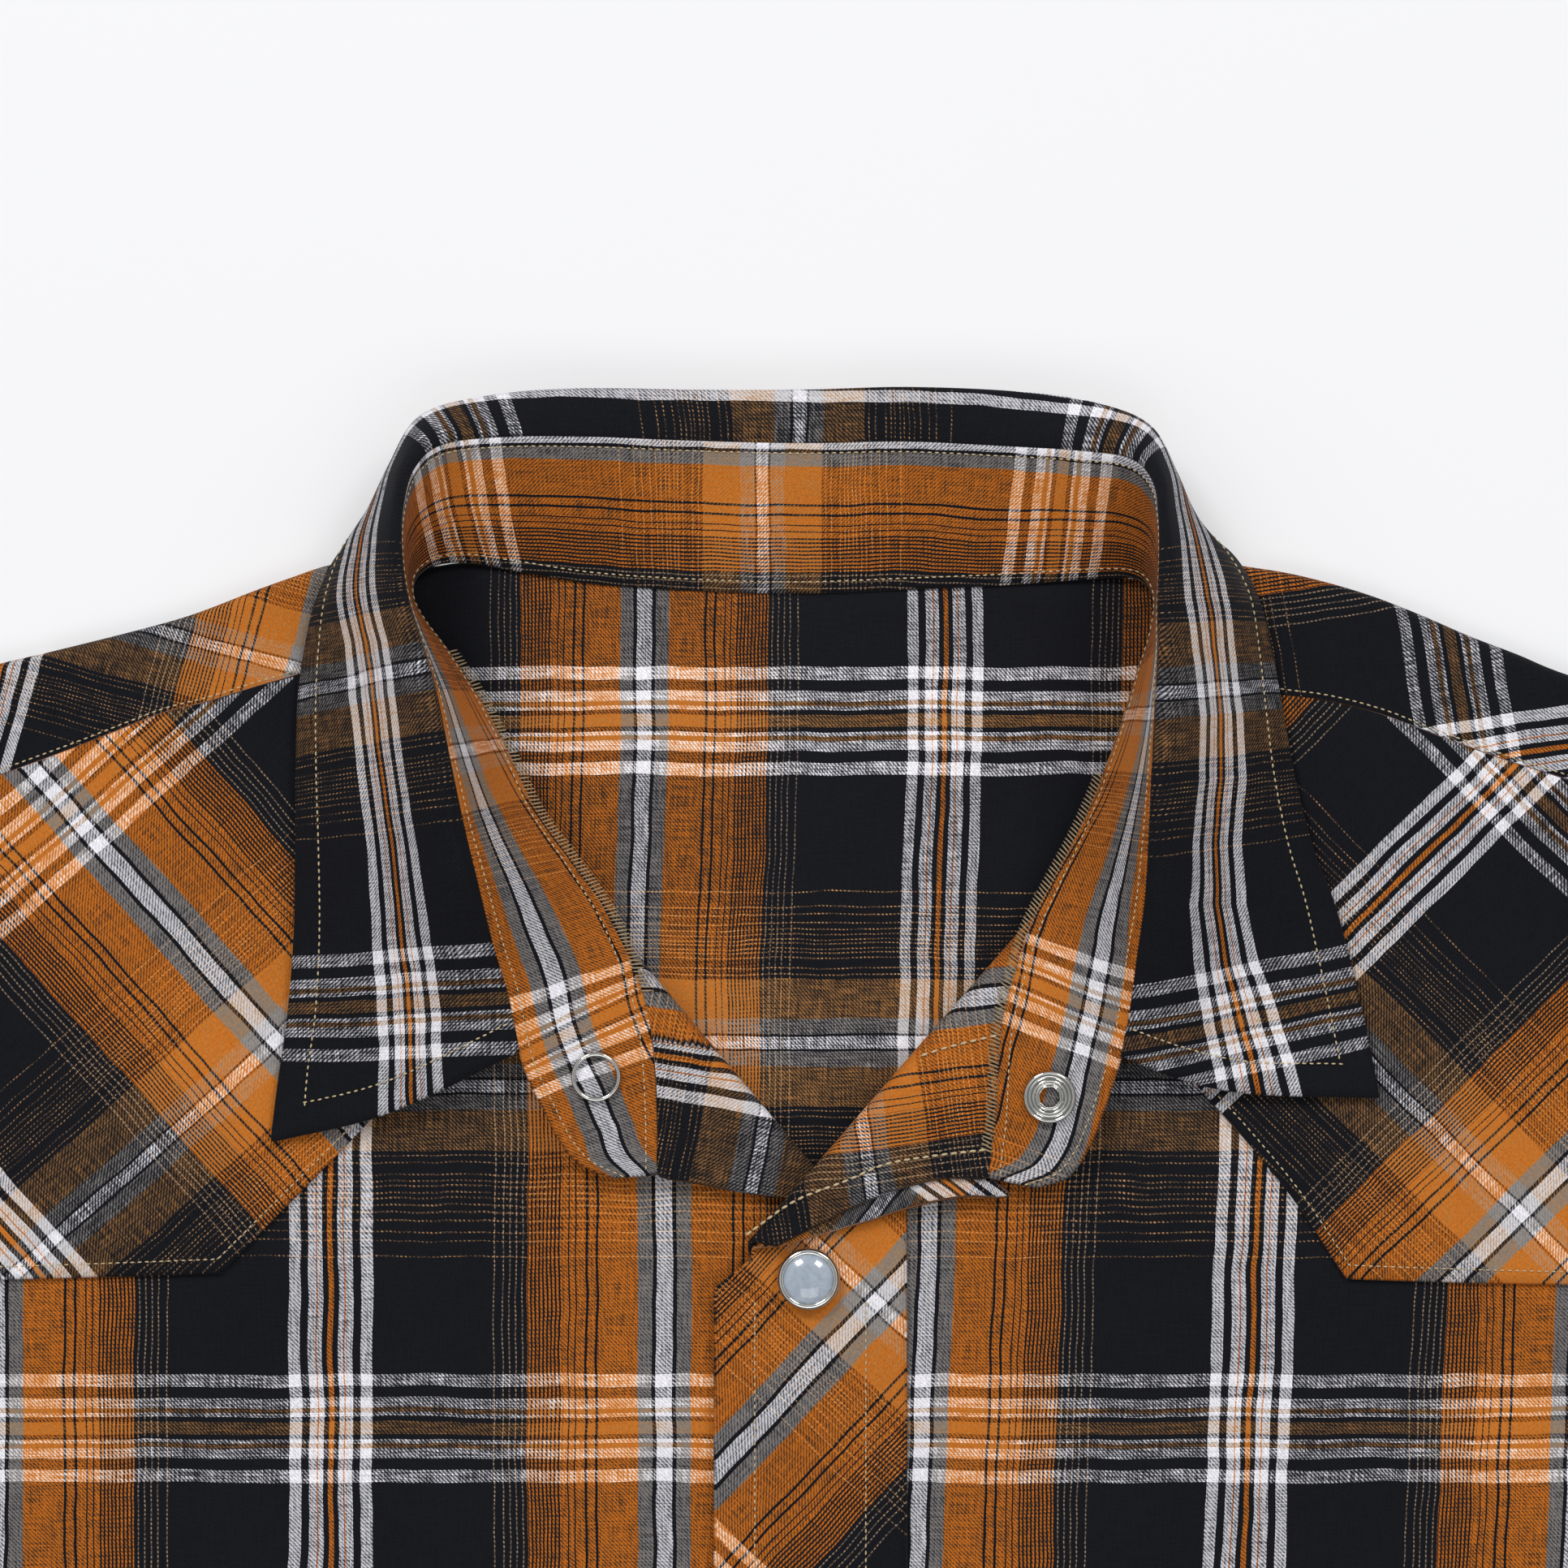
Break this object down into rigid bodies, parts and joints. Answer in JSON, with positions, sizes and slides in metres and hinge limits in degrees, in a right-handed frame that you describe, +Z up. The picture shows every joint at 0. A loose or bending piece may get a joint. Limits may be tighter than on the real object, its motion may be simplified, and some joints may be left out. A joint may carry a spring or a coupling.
{
  "type": "western snap shirt",
  "caption": "Long-sleeved plaid western snap shirt lying flat on its back with an open turned-down collar, folded lapels, shaped bias-cut yokes and a bias-cut placket.",
  "frame": {"origin": "on the flat underside of the back, on the centre line, 300 mm below the back neck seam", "axes": "+X towards the wearer's left sleeve, +Y towards the collar, +Z up out of the surface it lies on, through the back and then the fronts"},
  "size_m": [1.4784, 0.7861, 0.0377],
  "materials": {
    "cloth": "soft brushed cotton, yarn-dyed plaid",
    "chrome": "bright plated, slightly worn",
    "pearl": "pearlescent pale blue-grey in a chrome rim"
  },
  "bodies": {
    "root": {"back": "cloth", "back_yoke": "cloth", "front_right": "cloth", "front_left": "cloth", "yoke_front_right": "cloth", "yoke_front_left": "cloth", "placket": "cloth", "collar_stand": "cloth", "collar_leaf": "cloth", "sleeve_right": "cloth", "sleeve_left": "cloth", "cuff_right": "cloth", "cuff_left": "cloth", "snap_cap_1": "pearl", "snap_cap_2": "pearl", "snap_cap_3": "pearl", "snap_cap_4": "pearl", "snap_cap_5": "pearl", "snap_cap_6": "pearl", "snap_cuff_right": "pearl", "snap_cuff_left": "pearl", "snap_stand_cap": "pearl", "snap_stand_ring": "chrome", "snap_stand_socket": "chrome", "snap_stand_stud": "chrome"}
  },
  "joints": []
}
